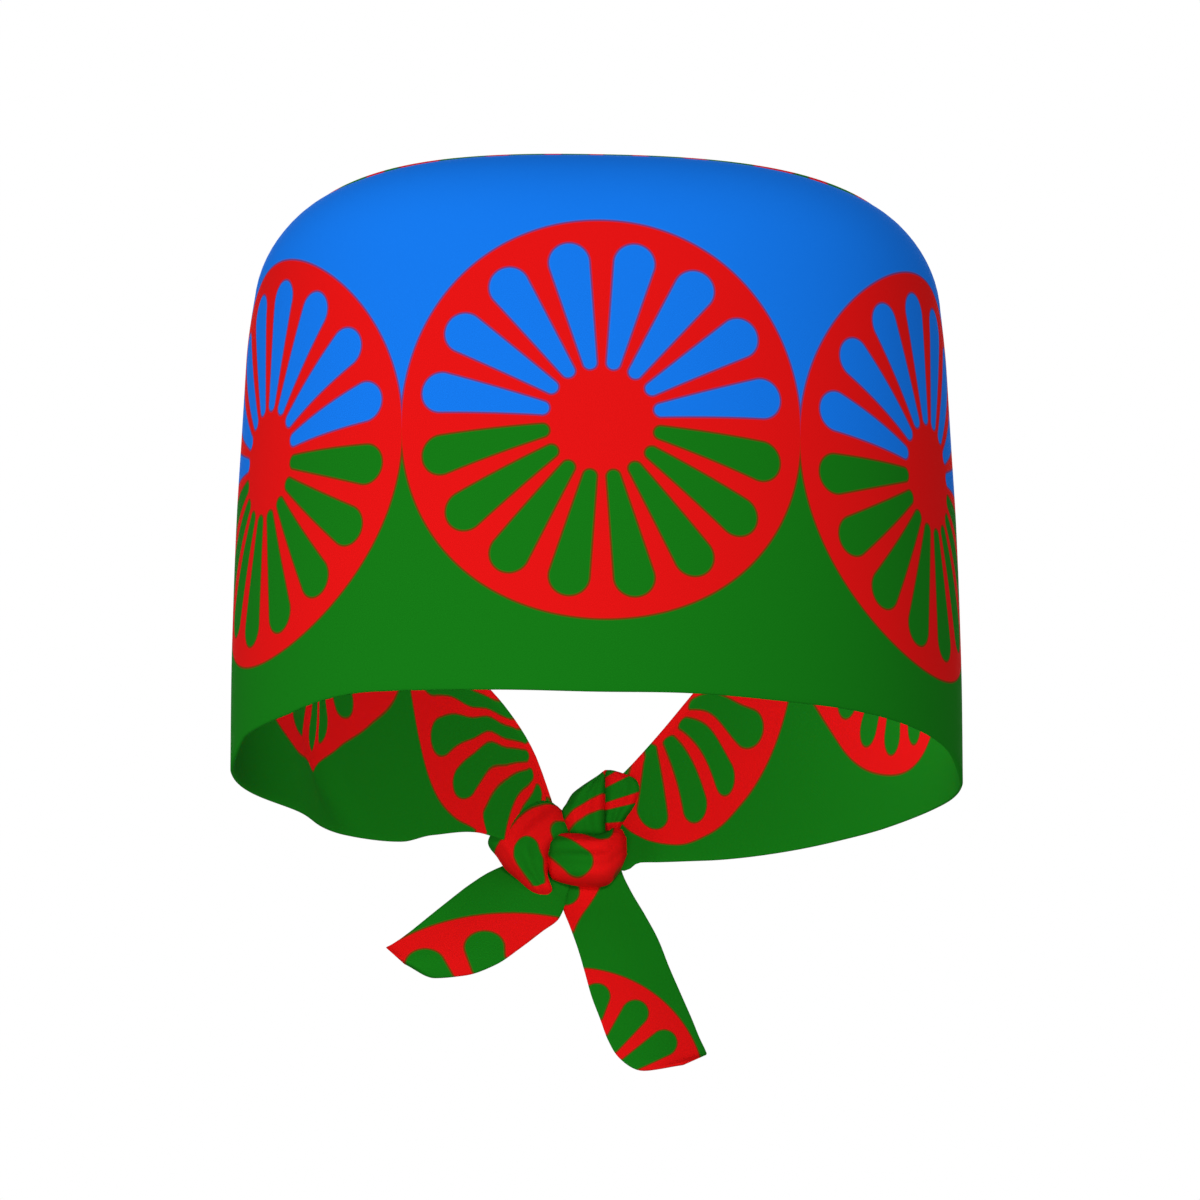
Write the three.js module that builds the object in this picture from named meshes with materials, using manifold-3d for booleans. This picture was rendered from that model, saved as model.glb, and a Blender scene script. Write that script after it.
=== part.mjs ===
// A cloth scrub cap, tied at the back with its own two tie ends.
// Millimetres. +Z is up, the front of the cap faces -Y, and the origin is the centre of the head
// opening, in the plane of the front hem.
import * as THREE from "three";
import { mergeVertices } from "three/addons/utils/BufferGeometryUtils.js";
import Module from "manifold-3d";

const wasm = await Module();
wasm.setup();

// Driving sizes
const HALF_WIDTH = 84.2;
const FRONT_DEPTH = 80.5;
const REAR_DEPTH = 128.5;
const ASKEW = -0.0175;
const CLOTH = 1.5;
const GAP = 0.3;

// The shoulder is where the upright band rounds over into the crown. Heights above it are
// measured along the cloth.
const SHOULDER_START = 110.5;
const SHOULDER_RADIUS = 21;
const SEAM_HEIGHT = 134;
const CROWN_START = 139;
const CROWN_CENTRE_Y = 12;
const CROWN_RISE = 7.6;

// The free hemmed edge of the top panel, above the gap at the back
const REAR_EDGE_HEIGHT = 60;
const REAR_EDGE_ARCH = 4;
const REAR_EDGE_HALF = 30;

// The plan of the cap at some heights: shares of the half width and of the rear depth, and how
// boxy the front and the rear are (2 is an ellipse, less is more pointed)
const PLAN = [
  { height: 0, width: 1.0, rear: 1.0, frontRound: 2.0, rearRound: 1.6 },
  { height: 20, width: 0.998, rear: 1.0, frontRound: 2.05, rearRound: 1.6 },
  { height: 40, width: 0.992, rear: 0.99, frontRound: 2.1, rearRound: 1.64 },
  { height: 60, width: 0.983, rear: 0.965, frontRound: 2.16, rearRound: 1.75 },
  { height: 80, width: 0.969, rear: 0.925, frontRound: 2.24, rearRound: 1.86 },
  { height: 100, width: 0.955, rear: 0.87, frontRound: 2.32, rearRound: 2.0 },
  { height: 110.5, width: 0.947, rear: 0.835, frontRound: 2.36, rearRound: 2.08 },
];

// The lower and upper edges of the two rear wings, by their distance from the middle of the cap
const RIGHT_WING = [
  { across: 3, low: 12.8, high: 31 },
  { across: 6.9, low: 12.2, high: 34.5 },
  { across: 14.7, low: 11.4, high: 43 },
  { across: 21.4, low: 10.6, high: 51 },
  { across: 28.8, low: 9.6, high: 59.5 },
  { across: 46, low: 7.6, high: 80 },
  { across: 57.5, low: 6.2, high: 95 },
  { across: 65, low: 5, high: 107 },
  { across: 72, low: 3.8, high: 122 },
  { across: 77.7, low: 2.4, high: 131 },
  { across: 84, low: 0, high: SEAM_HEIGHT },
];
const LEFT_WING = [
  { across: 9, low: 15, high: 25 },
  { across: 11.4, low: 15, high: 28 },
  { across: 14.7, low: 14.8, high: 37.5 },
  { across: 20.5, low: 14.8, high: 46.5 },
  { across: 26.9, low: 15.4, high: 53.5 },
  { across: 38.4, low: 12, high: 69.5 },
  { across: 45.3, low: 8.9, high: 79 },
  { across: 59, low: 5.9, high: 98 },
  { across: 68.3, low: 3.8, high: 113 },
  { across: 77, low: 2, high: 130 },
  { across: 84, low: 0, high: SEAM_HEIGHT },
];
const RIGHT_END = 4;
const LEFT_END = 11;

// The dent in the left rear wall, where the slack cloth falls inwards
const DENT_DEPTH = 6;
const DENT_BACK = 44;
const DENT_HALF = 20;
const DENT_TOP = 75;

// A smooth curve through the rows of a table that never overshoots them
function columnOf(rows, key, name) {
  const x = rows.map((row) => row[key]);
  const y = rows.map((row) => row[name]);
  const last = x.length - 1;
  const slope = x.slice(1).map((value, i) => (y[i + 1] - y[i]) / (value - x[i]));
  const tangent = y.map((_, i) => {
    if (i === 0) return slope[0];
    if (i === last) return slope[last - 1];
    const before = slope[i - 1];
    const after = slope[i];
    return before * after <= 0 ? 0 : (2 * before * after) / (before + after);
  });
  return (at) => {
    const clamped = Math.min(Math.max(at, x[0]), x[last]);
    let i = 0;
    while (i < last - 1 && clamped > x[i + 1]) i += 1;
    const span = x[i + 1] - x[i];
    const f = (clamped - x[i]) / span;
    const rise = y[i + 1] - y[i];
    const bend = tangent[i] * span - rise;
    const unbend = rise - tangent[i + 1] * span;
    return y[i] + rise * f + f * (1 - f) * (bend * (1 - f) + unbend * f);
  };
}

const widthShare = columnOf(PLAN, "height", "width");
const rearShare = columnOf(PLAN, "height", "rear");
const frontRound = columnOf(PLAN, "height", "frontRound");
const rearRound = columnOf(PLAN, "height", "rearRound");
const wings = {
  right: { low: columnOf(RIGHT_WING, "across", "low"), high: columnOf(RIGHT_WING, "across", "high") },
  left: { low: columnOf(LEFT_WING, "across", "low"), high: columnOf(LEFT_WING, "across", "high") },
};

const smooth = (f) => f * f * (3 - 2 * f);
const clamp01 = (f) => Math.min(Math.max(f, 0), 1);

// The plan point at a turn round the cap: 0 is the front, a quarter turn the right side
function planPoint(turn, height) {
  const side = Math.sin(turn);
  const front = Math.cos(turn);
  const round = front >= 0 ? frontRound(height) : rearRound(height);
  const depth = front >= 0 ? FRONT_DEPTH : REAR_DEPTH * rearShare(height);
  const x = HALF_WIDTH * widthShare(height) * Math.sign(side) * Math.abs(side) ** (2 / round);
  const y = -depth * Math.sign(front) * Math.abs(front) ** (2 / round);
  return new THREE.Vector2(x, y);
}

function inwards(turn, height) {
  const step = 1e-3;
  const along = planPoint(turn + step, height).sub(planPoint(turn - step, height)).normalize();
  return new THREE.Vector2(-along.y, along.x);
}

function dentAt(point, height) {
  if (point.x > 0) return 0;
  const off = (point.y - DENT_BACK) / DENT_HALF;
  return DENT_DEPTH * Math.exp(-off * off) * smooth(clamp01(1 - height / DENT_TOP));
}

// A point of the outer face at a turn and a height along the cloth
function wallPoint(turn, along) {
  const height = Math.min(along, SHOULDER_START);
  const over = Math.max(along - SHOULDER_START, 0) / SHOULDER_RADIUS;
  const flat = planPoint(turn, height);
  const inset = SHOULDER_RADIUS * (1 - Math.cos(over)) + dentAt(flat, height);
  flat.addScaledVector(inwards(turn, height), inset);
  const z = height + SHOULDER_RADIUS * Math.sin(over);
  return new THREE.Vector3(flat.x, flat.y, z + ASKEW * flat.x);
}

// A point of the crown, from its rim at 0 to its centre at 1
function crownPoint(turn, share) {
  const point = wallPoint(turn, CROWN_START);
  const rise = CROWN_RISE * (1 - (1 - share) ** 2);
  point.lerp(new THREE.Vector3(0, CROWN_CENTRE_Y, point.z), share);
  point.z += rise;
  return point;
}

// A point with the direction out of the cloth there. pointAt takes a turn and a place up the cap.
function skin(pointAt, turn, place, step) {
  const round = pointAt(turn + 1e-3, place).sub(pointAt(turn - 1e-3, place));
  const up = pointAt(turn, place + step).sub(pointAt(turn, place - step));
  return { point: pointAt(turn, place), out: round.cross(up).normalize() };
}

const wallSkin = (turn, along) => skin(wallPoint, turn, along, 0.2);

// The turn at which the rear wall lies this far from the middle
function turnAt(across, sign) {
  const share = across / (HALF_WIDTH * widthShare(20));
  const side = Math.min(share, 1) ** (rearRound(20) / 2);
  return sign * (Math.PI - Math.asin(side));
}

function wingAt(turn) {
  if (Math.cos(turn) >= 0) return { low: 0, high: SEAM_HEIGHT };
  const wing = Math.sin(turn) > 0 ? wings.right : wings.left;
  const across = Math.abs(planPoint(turn, 20).x);
  return { low: wing.low(across), high: wing.high(across) };
}

// Turns from one end to the other whose points are evenly spaced along the hem
function evenTurns(first, last, count) {
  const fine = 720;
  const turns = [];
  const lengths = [0];
  for (let i = 0; i <= fine; i += 1) {
    turns.push(first + ((last - first) * i) / fine);
    if (i) lengths.push(lengths[i - 1] + planPoint(turns[i], 20).distanceTo(planPoint(turns[i - 1], 20)));
  }
  const result = [];
  let k = 0;
  for (let i = 0; i <= count; i += 1) {
    const wanted = (lengths[fine] * i) / count;
    while (k < fine - 1 && lengths[k + 1] < wanted) k += 1;
    const f = (wanted - lengths[k]) / (lengths[k + 1] - lengths[k]);
    result.push(turns[k] + f * (turns[k + 1] - turns[k]));
  }
  return result;
}

// A cloth of even thickness from a grid of points on its outer face. The columns run round the
// cap and may close on themselves, and the rows run up it and may end in one point.
function clothFrom(grid, closed = false, tip = false) {
  const columns = grid.length;
  const rows = grid[0].length;
  const skins = grid.flat();
  const inner = skins.map(({ point, out }) => point.clone().addScaledVector(out, -CLOTH));
  const points = [...skins.map(({ point }) => point), ...inner];
  const faces = [];
  const half = skins.length;
  const quad = (a, b, c, d) => faces.push(a, b, c, a, c, d);
  const spans = closed ? columns : columns - 1;
  for (let i = 0; i < spans; i += 1) {
    const here = i * rows;
    const next = ((i + 1) % columns) * rows;
    for (let j = 0; j < rows - 1; j += 1) {
      quad(here + j, next + j, next + j + 1, here + j + 1);
      quad(half + here + j, half + here + j + 1, half + next + j + 1, half + next + j);
    }
    quad(here, half + here, half + next, next);
    const top = rows - 1;
    if (!tip) quad(here + top, next + top, half + next + top, half + here + top);
  }
  if (!closed) {
    const end = (columns - 1) * rows;
    for (let j = 0; j < rows - 1; j += 1) {
      quad(j, j + 1, half + j + 1, half + j);
      quad(end + j, half + end + j, half + end + j + 1, end + j + 1);
    }
  }
  return geometryFrom(points, faces);
}

function geometryFrom(points, faces) {
  const geometry = new THREE.BufferGeometry();
  geometry.setAttribute("position", new THREE.Float32BufferAttribute(points.flatMap((p) => p.toArray()), 3));
  geometry.setIndex(faces);
  return dropThin(mergeVertices(geometry, 1e-3));
}

// Merging the points of a tip leaves triangles with two equal corners, which go
function dropThin(geometry) {
  const index = geometry.index.array;
  const kept = [];
  for (let i = 0; i < index.length; i += 3) {
    const [a, b, c] = [index[i], index[i + 1], index[i + 2]];
    if (a !== b && b !== c && c !== a) kept.push(a, b, c);
  }
  geometry.setIndex(kept);
  return geometry;
}

// A closed tube of oval section through rows with named columns: the centre, the half size
// across and the half depth. The tube runs in the plane of X and Z.
const TUBE_SIDES = 16;
function tubeFrom(rows, grow = 0) {
  const points = [];
  const faces = [];
  rows.forEach((row, i) => {
    const before = rows[Math.max(i - 1, 0)];
    const after = rows[Math.min(i + 1, rows.length - 1)];
    const along = new THREE.Vector2(after.x - before.x, after.z - before.z).normalize();
    for (let k = 0; k < TUBE_SIDES; k += 1) {
      const angle = (2 * Math.PI * k) / TUBE_SIDES;
      const across = (row.across + grow) * Math.cos(angle);
      const deep = (row.deep + grow) * Math.sin(angle);
      points.push(new THREE.Vector3(row.x + along.y * across, row.y + deep, row.z - along.x * across));
    }
  });
  const rings = rows.length;
  const ends = [points.length, points.length + 1];
  [0, rings - 1].forEach((i, k) => {
    const towards = rows[k ? rings - 2 : 1];
    const away = new THREE.Vector3(rows[i].x - towards.x, 0, rows[i].z - towards.z).normalize();
    points.push(new THREE.Vector3(rows[i].x, rows[i].y, rows[i].z).addScaledVector(away, 0.6 + grow));
  });
  for (let k = 0; k < TUBE_SIDES; k += 1) {
    const next = (k + 1) % TUBE_SIDES;
    for (let i = 0; i < rings - 1; i += 1) {
      const here = i * TUBE_SIDES;
      const after = here + TUBE_SIDES;
      faces.push(here + k, here + next, after + next, here + k, after + next, after + k);
    }
    const lastRing = (rings - 1) * TUBE_SIDES;
    faces.push(ends[0], next, k, ends[1], lastRing + k, lastRing + next);
  }
  return geometryFrom(points, faces);
}

function solidOf(geometry) {
  const bare = new THREE.BufferGeometry();
  bare.setAttribute("position", geometry.getAttribute("position"));
  bare.setIndex(geometry.index);
  const merged = mergeVertices(bare, 1e-3);
  return new wasm.Manifold(
    new wasm.Mesh({
      numProp: 3,
      vertProperties: new Float32Array(merged.attributes.position.array),
      triVerts: new Uint32Array(merged.index.array),
    }),
  );
}

function geometryOf(solid) {
  const mesh = solid.getMesh();
  const points = new Float32Array(mesh.numVert * 3);
  for (let i = 0; i < mesh.numVert; i += 1) {
    points.set(mesh.vertProperties.subarray(i * mesh.numProp, i * mesh.numProp + 3), i * 3);
  }
  const geometry = new THREE.BufferGeometry();
  geometry.setAttribute("position", new THREE.BufferAttribute(points, 3));
  geometry.setIndex(new THREE.BufferAttribute(mesh.triVerts, 1));
  return geometry;
}

// A piece less its neighbours, each already grown by the gap
function cutBy(geometry, neighbours) {
  let solid = solidOf(geometry);
  neighbours.forEach((neighbour) => {
    solid = solid.subtract(solidOf(neighbour));
  });
  const largest = solid.decompose().sort((a, b) => b.volume() - a.volume())[0];
  return geometryOf(largest);
}

// The knot, by rows along each piece
const KNOT_RIGHT_WRAP = [
  { x: -10.2, y: 125.5, z: 11.6, across: 3, deep: 3.5 },
  { x: -8.4, y: 125, z: 11.7, across: 4.4, deep: 5.6 },
  { x: -4.5, y: 124.5, z: 11.5, across: 5.1, deep: 6.8 },
  { x: 0.5, y: 124.5, z: 11.3, across: 5.1, deep: 7 },
  { x: 4.2, y: 125.5, z: 11.2, across: 4.3, deep: 6 },
  { x: 6.2, y: 126.5, z: 11.3, across: 2.6, deep: 4 },
];
const KNOT_LEFT_WRAP = [
  { x: -8.8, y: 126.5, z: 26.2, across: 2.4, deep: 3 },
  { x: -11, y: 126, z: 23.4, across: 5.2, deep: 5 },
  { x: -13.4, y: 125.5, z: 19.4, across: 6.8, deep: 6.2 },
  { x: -16, y: 125.5, z: 14.6, across: 6.8, deep: 6.2 },
  { x: -16.6, y: 126, z: 9.6, across: 4.6, deep: 5 },
  { x: -14.8, y: 126.5, z: 6.2, across: 2, deep: 3 },
];
const KNOT_UPPER_FOLD = [
  { x: 1.2, y: 124.4, z: 31.8, across: 1.4, deep: 1.6 },
  { x: -0.6, y: 124.2, z: 29.2, across: 3.2, deep: 2.6 },
  { x: -2.6, y: 124, z: 25, across: 4.3, deep: 3.4 },
  { x: -3.2, y: 124.2, z: 20.4, across: 4.4, deep: 3.8 },
  { x: -3, y: 125, z: 15.6, across: 4.2, deep: 3.8 },
];
const KNOT_SIDE_FOLD = [
  { x: 9.6, y: 126.4, z: 31, across: 2.6, deep: 2 },
  { x: 6.6, y: 126.6, z: 27, across: 5, deep: 3 },
  { x: 4.2, y: 127, z: 22.4, across: 5.6, deep: 3.8 },
  { x: 2.6, y: 127.2, z: 17.4, across: 5, deep: 4 },
];

// The two free ends, by rows across each: its left and right edge and its distance to the rear
const LEFT_TAIL = [
  { leftX: -15.5, leftZ: 12, rightX: -7, rightZ: 5.5, y: 127.5 },
  { leftX: -21.5, leftZ: 9.4, rightX: -8.6, rightZ: 0.6, y: 127 },
  { leftX: -27.5, leftZ: 5.4, rightX: -11.8, rightZ: -4.2, y: 126 },
  { leftX: -33.5, leftZ: 1.8, rightX: -18.5, rightZ: -9, y: 125.2 },
  { leftX: -39.5, leftZ: -2.4, rightX: -26, rightZ: -13.4, y: 124.6 },
  { leftX: -44, leftZ: -5.4, rightX: -34, rightZ: -15, y: 124.2 },
  { leftX: -47.8, leftZ: -8.2, rightX: -44, rightZ: -12.4, y: 124 },
];
const RIGHT_TAIL = [
  { leftX: -7.4, leftZ: 8, rightX: 6.4, rightZ: 11, y: 130.4 },
  { leftX: -7.4, leftZ: 2, rightX: 7, rightZ: 7, y: 129.8 },
  { leftX: -5.6, leftZ: -5, rightX: 11, rightZ: 0, y: 128.2 },
  { leftX: -2.8, leftZ: -14, rightX: 15.2, rightZ: -8, y: 126.4 },
  { leftX: 0.4, leftZ: -23, rightX: 19, rightZ: -17.6, y: 125.4 },
  { leftX: 3.6, leftZ: -31, rightX: 22, rightZ: -27, y: 124.8 },
  { leftX: 8, leftZ: -36, rightX: 24.8, rightZ: -33.6, y: 124.5 },
];
const TOWARDS_HEAD = new THREE.Vector3(0, -1, 0);
const TAIL_BOW = 1.6;
const TAIL_COLUMNS = 8;

function tailFrom(rows) {
  const grid = [];
  for (let k = 0; k <= TAIL_COLUMNS; k += 1) {
    const f = k / TAIL_COLUMNS;
    const bow = TAIL_BOW * Math.sin(Math.PI * f);
    grid.push(
      rows.map((row) => {
        const x = row.leftX + f * (row.rightX - row.leftX);
        const z = row.leftZ + f * (row.rightZ - row.leftZ);
        return { point: new THREE.Vector3(x, row.y - bow, z), out: TOWARDS_HEAD };
      }),
    );
  }
  grid.forEach((column) => column.reverse());
  return clothFrom(grid);
}

// The band and the top panel share their turns, so that their edges run side by side
const BAND_COLUMNS = 72;
const BAND_ROWS = 12;
const ROWS_CROWD_UP = 1.6;
const BAND_TURNS = evenTurns(turnAt(LEFT_END, -1), turnAt(RIGHT_END, 1), BAND_COLUMNS);
function sideBand() {
  const grid = BAND_TURNS.map((turn) => {
    const { low, high } = wingAt(turn);
    const column = [];
    for (let j = 0; j <= BAND_ROWS; j += 1) {
      const share = 1 - (1 - j / BAND_ROWS) ** ROWS_CROWD_UP;
      column.push(wallSkin(turn, low + (high - GAP / 2 - low) * share));
    }
    return column;
  });
  return clothFrom(grid);
}

const OPEN_COLUMNS = 5;
const TOP_WALL_ROWS = 6;
const TOP_CROWN_ROWS = 6;
const CROWN_STEP = 0.01;
const UP = new THREE.Vector3(0, 0, 1);
function topPanel() {
  const first = BAND_TURNS[0] + 2 * Math.PI;
  const last = BAND_TURNS[BAND_COLUMNS];
  const overOpening = [];
  for (let i = 1; i < OPEN_COLUMNS; i += 1) {
    overOpening.push(last + ((first - last) * i) / OPEN_COLUMNS);
  }
  const grid = [...BAND_TURNS, ...overOpening].map((turn) => {
    const across = Math.abs(planPoint(turn, 20).x);
    const seam = wingAt(turn).high + GAP / 2;
    const arch = REAR_EDGE_ARCH * (1 - Math.min(across / REAR_EDGE_HALF, 1) ** 2);
    const low = Math.cos(turn) < 0 ? Math.max(seam, REAR_EDGE_HEIGHT + arch) : seam;
    const column = [];
    for (let j = 0; j < TOP_WALL_ROWS; j += 1) {
      const share = 1 - (1 - j / TOP_WALL_ROWS) ** ROWS_CROWD_UP;
      column.push(wallSkin(turn, low + (CROWN_START - low) * share));
    }
    for (let j = 0; j < TOP_CROWN_ROWS; j += 1) {
      column.push(skin(crownPoint, turn, j / TOP_CROWN_ROWS, CROWN_STEP));
    }
    column.push({ point: crownPoint(0, 1), out: UP });
    return column;
  });
  return clothFrom(grid, true, true);
}

const PRINTED_COTTON = { color: "#137914", roughness: 0.85, metalness: 0 };
const cap = new THREE.Group();
function addPiece(name, geometry, color = PRINTED_COTTON.color) {
  const mesh = new THREE.Mesh(geometry, new THREE.MeshStandardMaterial({ ...PRINTED_COTTON, color }));
  mesh.name = name;
  cap.add(mesh);
}

const rightWrap = tubeFrom(KNOT_RIGHT_WRAP);
const rightWrapRoom = tubeFrom(KNOT_RIGHT_WRAP, GAP);
const leftWrap = cutBy(tubeFrom(KNOT_LEFT_WRAP), [rightWrapRoom]);
const leftWrapRoom = tubeFrom(KNOT_LEFT_WRAP, GAP);
const upperFold = cutBy(tubeFrom(KNOT_UPPER_FOLD), [rightWrapRoom, leftWrapRoom]);
const upperFoldRoom = tubeFrom(KNOT_UPPER_FOLD, GAP);
const knotRoom = [rightWrapRoom, leftWrapRoom, upperFoldRoom];
const sideFold = cutBy(tubeFrom(KNOT_SIDE_FOLD), knotRoom);
const sideFoldRoom = tubeFrom(KNOT_SIDE_FOLD, GAP);
const allRoom = [...knotRoom, sideFoldRoom];

addPiece("side_band", cutBy(sideBand(), allRoom));
addPiece("top_panel", topPanel());
addPiece("knot_right_wrap", rightWrap, "#E81212");
addPiece("knot_left_wrap", leftWrap, "#E81212");
addPiece("knot_upper_fold", upperFold);
addPiece("knot_side_fold", sideFold);
addPiece("left_tail", cutBy(tailFrom(LEFT_TAIL), allRoom));
addPiece("right_tail", cutBy(tailFrom(RIGHT_TAIL), allRoom));

export default cap;
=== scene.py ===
import math
from functools import partial

import bmesh
import bpy
import numpy as np
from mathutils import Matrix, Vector


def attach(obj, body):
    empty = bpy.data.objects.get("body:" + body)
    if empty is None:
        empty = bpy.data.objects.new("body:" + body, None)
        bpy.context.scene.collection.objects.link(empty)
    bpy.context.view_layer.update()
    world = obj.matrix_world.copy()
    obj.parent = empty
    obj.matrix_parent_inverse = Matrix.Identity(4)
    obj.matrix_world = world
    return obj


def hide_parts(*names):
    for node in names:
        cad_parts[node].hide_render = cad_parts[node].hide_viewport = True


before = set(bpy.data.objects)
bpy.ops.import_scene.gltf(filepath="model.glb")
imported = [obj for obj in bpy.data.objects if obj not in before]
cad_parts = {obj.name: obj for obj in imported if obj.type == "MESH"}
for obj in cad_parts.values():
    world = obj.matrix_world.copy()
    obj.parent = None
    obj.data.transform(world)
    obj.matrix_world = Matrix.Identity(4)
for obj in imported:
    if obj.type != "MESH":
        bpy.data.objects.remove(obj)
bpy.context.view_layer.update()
MM = 0.001

# Lengths are never divided by less than this
TINY = 1e-9

# The camera looks up under the front hem from a long way off. The middle of the view is this far
# across and this high, and the view this wide there.
LOOK = math.radians(14.38)
VIEW_ACROSS = 0.8
VIEW_HEIGHT = 41.9
VIEW_WIDTH = 276
VIEW_DISTANCE = 12000

# The cap's driving sizes. The cap sits askew, lower on the right by the share ASKEW of the way
# across, and the crown's free edge behind is arched.
HALF_WIDTH = 84.2
FRONT_DEPTH = 80.5
REAR_DEPTH = 128.5
ASKEW = -0.0175
SHOULDER_START = 110.5
SHOULDER_RADIUS = 21
SIDE_SEAM_HEIGHT = 130.2
CROWN_START = 139
CROWN_CENTRE_Y = 12
CROWN_RISE = 7.6
REAR_EDGE_HEIGHT = 60
REAR_EDGE_ARCH = 4
REAR_EDGE_HALF = 30

# The cloth's thickness, and the steps in which its edges are turned
CLOTH = 0.9
HEM_ROUND = 4

# The plan of the cap at some heights, as shares of the half width and the rear depth, with how
# square its front and rear are: 2 is an ellipse
PLAN = [
    {"height": 0, "width": 1.0, "rear": 1.0, "front_round": 2.0, "rear_round": 1.6},
    {"height": 20, "width": 0.998, "rear": 1.0, "front_round": 2.05, "rear_round": 1.6},
    {"height": 40, "width": 0.992, "rear": 0.99, "front_round": 2.1, "rear_round": 1.64},
    {"height": 60, "width": 0.983, "rear": 0.965, "front_round": 2.16, "rear_round": 1.75},
    {"height": 80, "width": 0.969, "rear": 0.925, "front_round": 2.24, "rear_round": 1.86},
    {"height": 100, "width": 0.955, "rear": 0.87, "front_round": 2.32, "rear_round": 2.0},
    {"height": 110.5, "width": 0.947, "rear": 0.835, "front_round": 2.36, "rear_round": 2.08},
]

# The edges of the two rear wings, by their distance from the middle of the cap at WING_LEVEL. Each
# wing ends inside the knot.
WING_LEVEL = 20.0
RIGHT_END = 4
LEFT_END = 10.4
RIGHT_WING = [
    {"across": 3, "low": 10.8, "high": 29.5},
    {"across": 6.9, "low": 10, "high": 33},
    {"across": 10, "low": 11.7, "high": 36.2},
    {"across": 14.7, "low": 11.3, "high": 41.3},
    {"across": 21.4, "low": 10.6, "high": 49.3},
    {"across": 28.8, "low": 9.6, "high": 58},
    {"across": 46, "low": 7.6, "high": 80},
    {"across": 57.5, "low": 6.2, "high": 95},
    {"across": 65, "low": 5, "high": 107},
    {"across": 72, "low": 3.8, "high": 122},
    {"across": 77.7, "low": 2.4, "high": 129},
    {"across": 84, "low": 0, "high": SIDE_SEAM_HEIGHT},
]
LEFT_WING = [
    {"across": 10.4, "low": 15, "high": 24},
    {"across": 11.4, "low": 15, "high": 27.3},
    {"across": 14.7, "low": 14.8, "high": 36.5},
    {"across": 20.5, "low": 14.8, "high": 45.5},
    {"across": 26.9, "low": 15.4, "high": 52.5},
    {"across": 38.4, "low": 12, "high": 69.5},
    {"across": 45.3, "low": 8.3, "high": 79},
    {"across": 59, "low": 4.7, "high": 98},
    {"across": 68.3, "low": 2.6, "high": 113},
    {"across": 77, "low": 0.8, "high": 128.6},
    {"across": 84, "low": 0, "high": SIDE_SEAM_HEIGHT},
]

# The seam round the front, which is a little higher in the middle than at the sides
FRONT_SEAM = [
    {"across": 0, "height": 137.2},
    {"across": 25, "height": 136.7},
    {"across": 46, "height": 135},
    {"across": 60, "height": 132.8},
    {"across": 70, "height": 131.2},
    {"across": 77, "height": 130.5},
    {"across": 84.2, "height": SIDE_SEAM_HEIGHT},
]

# How far the knot draws the print along and up the cloth: at the lower edge of a wing, half way up
# it and at its upper edge. These numbers come from a least-squares fit to places that were picked
# one by one. They are rounded to half a millimetre, and a few rows are changed.
RIGHT_DRAW = [
    {"across": 3, "low_along": 20.5, "low_up": -4.5, "mid_along": 20.5, "mid_up": -4,
     "high_along": 20, "high_up": -3},
    {"across": 7, "low_along": 20, "low_up": -3, "mid_along": 18, "mid_up": 0.5,
     "high_along": 16, "high_up": 4.5},
    {"across": 10, "low_along": 20, "low_up": -1.5, "mid_along": 16.5, "mid_up": 4,
     "high_along": 13, "high_up": 9.5},
    {"across": 13, "low_along": 19.5, "low_up": -0.5, "mid_along": 15, "mid_up": 6.5,
     "high_along": 10.5, "high_up": 13},
    {"across": 16, "low_along": 18.5, "low_up": 0.5, "mid_along": 14, "mid_up": 7,
     "high_along": 9.5, "high_up": 13},
    {"across": 20, "low_along": 16.5, "low_up": 1.5, "mid_along": 13, "mid_up": 6.5,
     "high_along": 8.5, "high_up": 10.5},
    {"across": 26, "low_along": 13, "low_up": 2, "mid_along": 10.5, "mid_up": 4.5,
     "high_along": 7, "high_up": 6.5},
    {"across": 34, "low_along": 9.5, "low_up": 4, "mid_along": 5, "mid_up": 4,
     "high_along": 3, "high_up": 3.5},
    {"across": 45, "low_along": 9.5, "low_up": 5.5, "mid_along": 6, "mid_up": 4,
     "high_along": 3.5, "high_up": 3},
    {"across": 57, "low_along": 13.5, "low_up": 4, "mid_along": 11.5, "mid_up": 4.5,
     "high_along": 9, "high_up": 4},
    {"across": 68, "low_along": 10.5, "low_up": 1.5, "mid_along": 10, "mid_up": 2,
     "high_along": 9, "high_up": 2.5},
    {"across": 76, "low_along": 8.5, "low_up": 2.5, "mid_along": 7, "mid_up": 2,
     "high_along": 5.5, "high_up": 1.5},
    {"across": 84, "low_along": 0, "low_up": 0, "mid_along": 0, "mid_up": 0,
     "high_along": 0, "high_up": 0},
]
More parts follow.
